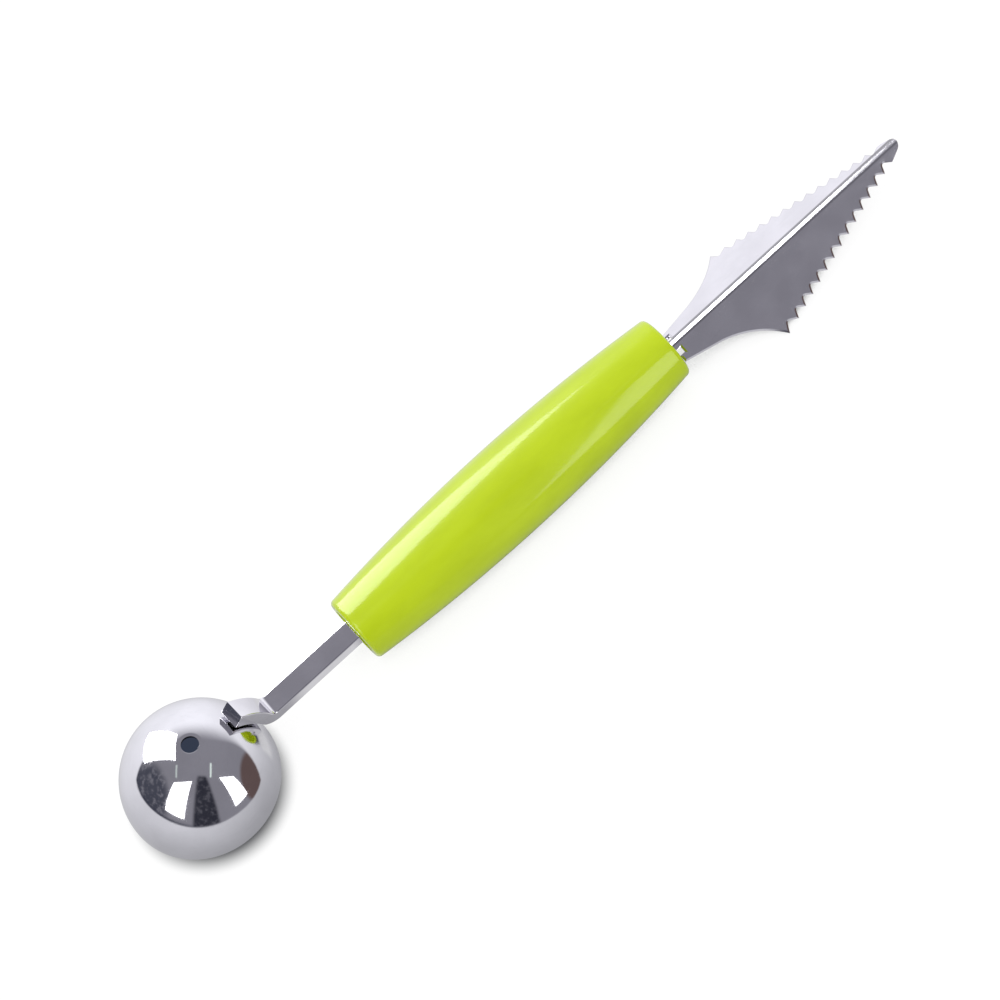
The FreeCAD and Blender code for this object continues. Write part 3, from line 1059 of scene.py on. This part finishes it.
class MELON_OT_studio(bpy.types.Operator):
    """Pale floor, grey room with a white table below it, windows, and the camera"""

    bl_idname = "melon.studio"
    bl_label = "Studio"

    def execute(self, context):
        settings = context.scene.melon_studio
        axes = camera_axes(settings)
        self.add_camera(context, settings, axes)
        self.add_floor(settings)
        for name, distance, corners, strength in (
            ("window_key", FAR_WINDOW, KEY_WINDOW, settings.key_level),
            ("window_right", NEAR_WINDOW, RIGHT_WINDOW, settings.side_level),
            ("window_left", FAR_WINDOW, LEFT_WINDOW, settings.side_level),
        ):
            self.add_window(name, distance, axes, corners, strength)
        self.paint_room(context, settings, axes)
        context.scene.view_settings.view_transform = "Standard"
        return {"FINISHED"}

    def add_camera(self, context, settings, axes):
        right, up, back = axes
        data = bpy.data.cameras.new("camera")
        data.lens = settings.lens
        data.sensor_width = SENSOR_WIDTH
        camera = bpy.data.objects.new("camera", data)
        context.scene.collection.objects.link(camera)
        aside = -right * settings.aside - up * settings.down
        place = HANDLE_CENTRE + back * settings.distance + aside
        turn = Matrix((right, up, back)).transposed().to_4x4()
        camera.matrix_world = Matrix.Translation(place) @ turn
        context.scene.camera = camera

    def add_floor(self, settings):
        """Paper that keeps the tool's shadow, deepened by painted shadow; reflections see the
        room's table through it, and a painted lit strip beside the bar.
        """
        size = settings.floor_size
        floor = new_primitive("floor", bpy.ops.mesh.primitive_plane_add, size=size)
        material = bpy.data.materials.new("floor_paper")
        recipe = Recipe(material)
        place = recipe.object_place()
        open_share = recipe.add(
            "ShaderNodeAmbientOcclusion",
            {"samples": SHADOW_SAMPLES},
            {"Distance": SHADOW_REACH},
            "AO",
        )
        from_foot = recipe.vector_sum("DISTANCE", place, Vector((BOWL_X, 0, 0)))
        outside_bowl = recipe.ease(from_foot, *HOLLOW_END)
        # Painted shadow: near-black paper where the floor is hemmed in under the tool, and a dark
        # glow under the bowl's hollow
        painted_shadow = recipe.diffuse(PAINTED_SHADOW_FLOOR)
        paper = recipe.diffuse(rgba(settings.floor))

        shade = recipe.diffuse(rgba(settings.floor, SHADE_SHARE))
        glow = recipe.emission(settings.floor_glow)
        bright = recipe.add("ShaderNodeAddShader", None, {0: shade, 1: glow})
        # What the camera sees of the painted shadow: the dark glow under the hollow, the near-black
        # paper around it
        dark = recipe.mix_shader(outside_bowl, recipe.emission(1.0, PAINTED_HOLLOW_SHADOW), painted_shadow)
        past_shadow = recipe.ease(from_foot, *SHADOW_END)
        open_seen = recipe.ease(open_share, *SEEN_FADE) * past_shadow
        seen = recipe.mix_shader(open_seen, dark, bright)

        # Painted light: beside the bar the floor glows for reflections, in place of paper lit by
        # the room
        along = recipe.dot(place, X_AXIS)
        across = abs(recipe.dot(place, Y_AXIS))
        past_bowl = recipe.ease(along, *STRIP_START)
        near_bar = 1.0 - recipe.ease(across, *STRIP_SIDE)
        before_handle = 1.0 - recipe.ease(along, *STRIP_END)
        beside_bar = past_bowl * near_bar * before_handle
        see_through = recipe.add("ShaderNodeBsdfTransparent")
        clear = recipe.mix_shader(beside_bar, see_through, recipe.emission(STRIP_LEVEL))
        # Reflections see the painted shadow where the floor is hemmed in and under the bowl
        open_mirrored = recipe.ease(open_share, *MIRRORED_FADE) * outside_bowl
        mirrored = recipe.mix_shader(open_mirrored, painted_shadow, clear)

        plain = recipe.mix_shader(recipe.ray("Is Camera Ray"), paper, seen)
        recipe.finish(recipe.mix_shader(recipe.ray("Is Glossy Ray"), plain, mirrored))
        floor.data.materials.append(material)

    def add_window(self, name, distance, axes, corners, strength):
        """A bright window that only shiny surfaces see."""
        middle = (BOWL_LOW + BOWL_HIGH) / 2
        window = new_primitive(name, bpy.ops.mesh.primitive_plane_add, size=1)
        for index, (off, clock) in zip(PLANE_CORNERS, corners):
            window.data.vertices[index].co = middle + towards(axes, off, clock) * distance
        material = bpy.data.materials.new(name)
        recipe = Recipe(material)
        recipe.finish(recipe.emission(strength))
        window.data.materials.append(material)
        window.visible_camera = False
        window.visible_diffuse = False

    def paint_room(self, context, settings, axes):
        """White for the camera, the painted room for shiny surfaces, soft light for the rest."""
        right, up, back = axes
        world = bpy.data.worlds.new("studio_room")
        context.scene.world = world
        recipe = Recipe(world)
        direction = recipe.add("ShaderNodeTexCoord", output="Generated")
        mirrored = recipe.background(self.room_colour(recipe, axes, direction))
        light_axis = (back + up - SOFT_LEFT * right).normalized()
        soft_level = settings.soft_light + settings.soft_slope * recipe.dot(direction, light_axis)
        soft = recipe.background(recipe.mix(1.0 - SOFT_GAIN * soft_level, SOFT_WHITE, BLACK))
        lit = recipe.mix_shader(recipe.ray("Is Glossy Ray"), soft, mirrored)
        white = recipe.background(WHITE)
        seen = recipe.mix_shader(recipe.ray("Is Camera Ray"), lit, white)
        recipe.finish(seen, "ShaderNodeOutputWorld")

    def room_colour(self, recipe, axes, direction):
        """Colour of the painted room in each direction."""
        right, up, back = axes
        ahead = recipe.dot(direction, back)
        above = recipe.dot(direction, up)
        aside = recipe.dot(direction, right)

        upper = recipe.ease(above, *UPPER_PART)
        lower = 1.0 - recipe.ease(above, *LOWER_PART)
        depth = ahead - DIP_ABOVE * abs(above) - DIP_BELOW * lower - DIP_RIGHT * aside
        from_edge = (depth + EDGE_HEIGHT) * (EDGE_SHARPNESS - EDGE_SOFTENING * upper)
        table = 1.0 - recipe.ease(from_edge, -1.0, 1.0)
        shaded_side = recipe.ease(aside - above, *SHADED_SIDE)
        table_level = TABLE_LEVEL + TABLE_RISE * above + TABLE_CURVE * above * above
        table_level = table_level - TABLE_FALL * aside + TABLE_SHADE * ahead * shaded_side
        table_colour = recipe.mix(1.0 - TABLE_GAIN * table_level, TABLE_WHITE, BLACK)

        to_left = recipe.dot(direction, towards(axes, *LEFT_CORNER))
        to_right = recipe.dot(direction, towards(axes, *RIGHT_CORNER))
        left_dark = recipe.ease(to_left, *LEFT_CORNER_FADE)
        right_dark = recipe.ease(to_right, *RIGHT_CORNER_FADE)
        clutter = recipe.noise(direction, scale=9.0, detail=4.0, roughness=0.65)
        clutter = recipe.ease(clutter, *CLUTTER)
        left_corner = recipe.mix(clutter * CORNER_CLUTTER, CORNER_DARK, ROOM_GREY)
        room = recipe.mix(left_dark * CORNER_SHARE, ROOM_GREY, left_corner)
        room = recipe.mix(right_dark * CORNER_SHARE, room, CORNER_WARM)
        gap = self.patch(recipe, axes, direction, DARK_GAP, GAP_SOFTNESS)
        room = recipe.mix(gap * (1.0 - GAP_CLUTTER * clutter), room, GAP_DARK)

        on_left = 1.0 - recipe.ease(aside, *LINE_RIGHT_END)
        on_lower = 1.0 - recipe.ease(above, *LINE_TOP_END)
        dark_line = on_left * on_lower * (1.0 - recipe.ease(from_edge, *LINE_WIDTH))
        room = recipe.mix(dark_line * LINE_SHARE, room, CORNER_DARK)
        for strength, corners in LAMP_LINES:
            lamp = self.patch(recipe, axes, direction, corners, LAMP_SOFTNESS)
            room = recipe.mix(lamp * strength, room, LAMP_PALE)
        return recipe.mix(table, room, table_colour)

    def patch(self, recipe, axes, direction, corners, softness):
        """1 inside a four-cornered patch of directions, 0 outside it."""
        places = [towards(axes, off, clock) for off, clock in corners]
        middle = sum(places, Vector())
        mask = None
        for start, end in zip(places, places[1:] + places[:1]):
            edge = start.cross(end).normalized()
            if edge.dot(middle) < 0:
                edge = -edge
            inside = recipe.ease(recipe.dot(direction, edge), -softness / 2, softness / 2)
            mask = inside if mask is None else mask * inside
        return mask


OPERATORS = (
    MELON_OT_scoop_bowl,
    MELON_OT_spot_welds,
    MELON_OT_scoop_shank,
    MELON_OT_handle_grip,
    MELON_OT_end_plugs,
    MELON_OT_carving_blade,
    MELON_OT_studio,
)


class MELON_PT_panel(bpy.types.Panel):
    """Sizes, colours and steps of the melon baller"""

    bl_idname = "MELON_PT_panel"
    bl_label = "Melon Baller"
    bl_space_type = "VIEW_3D"
    bl_region_type = "UI"
    bl_category = "Melon Baller"

    def draw(self, context):
        for operator in OPERATORS:
            self.layout.operator(operator.bl_idname)
        for name in GROUPS:
            box = self.layout.box()
            group = getattr(context.scene, name)
            for key in group.__annotations__:
                box.prop(group, key)


CLASSES = tuple(GROUPS.values()) + OPERATORS + (MELON_PT_panel,)


def register():
    for cls in CLASSES:
        bpy.utils.register_class(cls)
    for name, group in GROUPS.items():
        setattr(bpy.types.Scene, name, PointerProperty(type=group))


def unregister():
    for name in GROUPS:
        delattr(bpy.types.Scene, name)
    for cls in reversed(CLASSES):
        bpy.utils.unregister_class(cls)


def main():
    register()
    bpy.ops.melon.scoop_bowl()
    bpy.ops.melon.spot_welds()
    bpy.ops.melon.scoop_shank()
    bpy.ops.melon.handle_grip()
    bpy.ops.melon.end_plugs()
    bpy.ops.melon.carving_blade()
    bpy.ops.melon.studio()


if __name__ == "__main__":
    main()
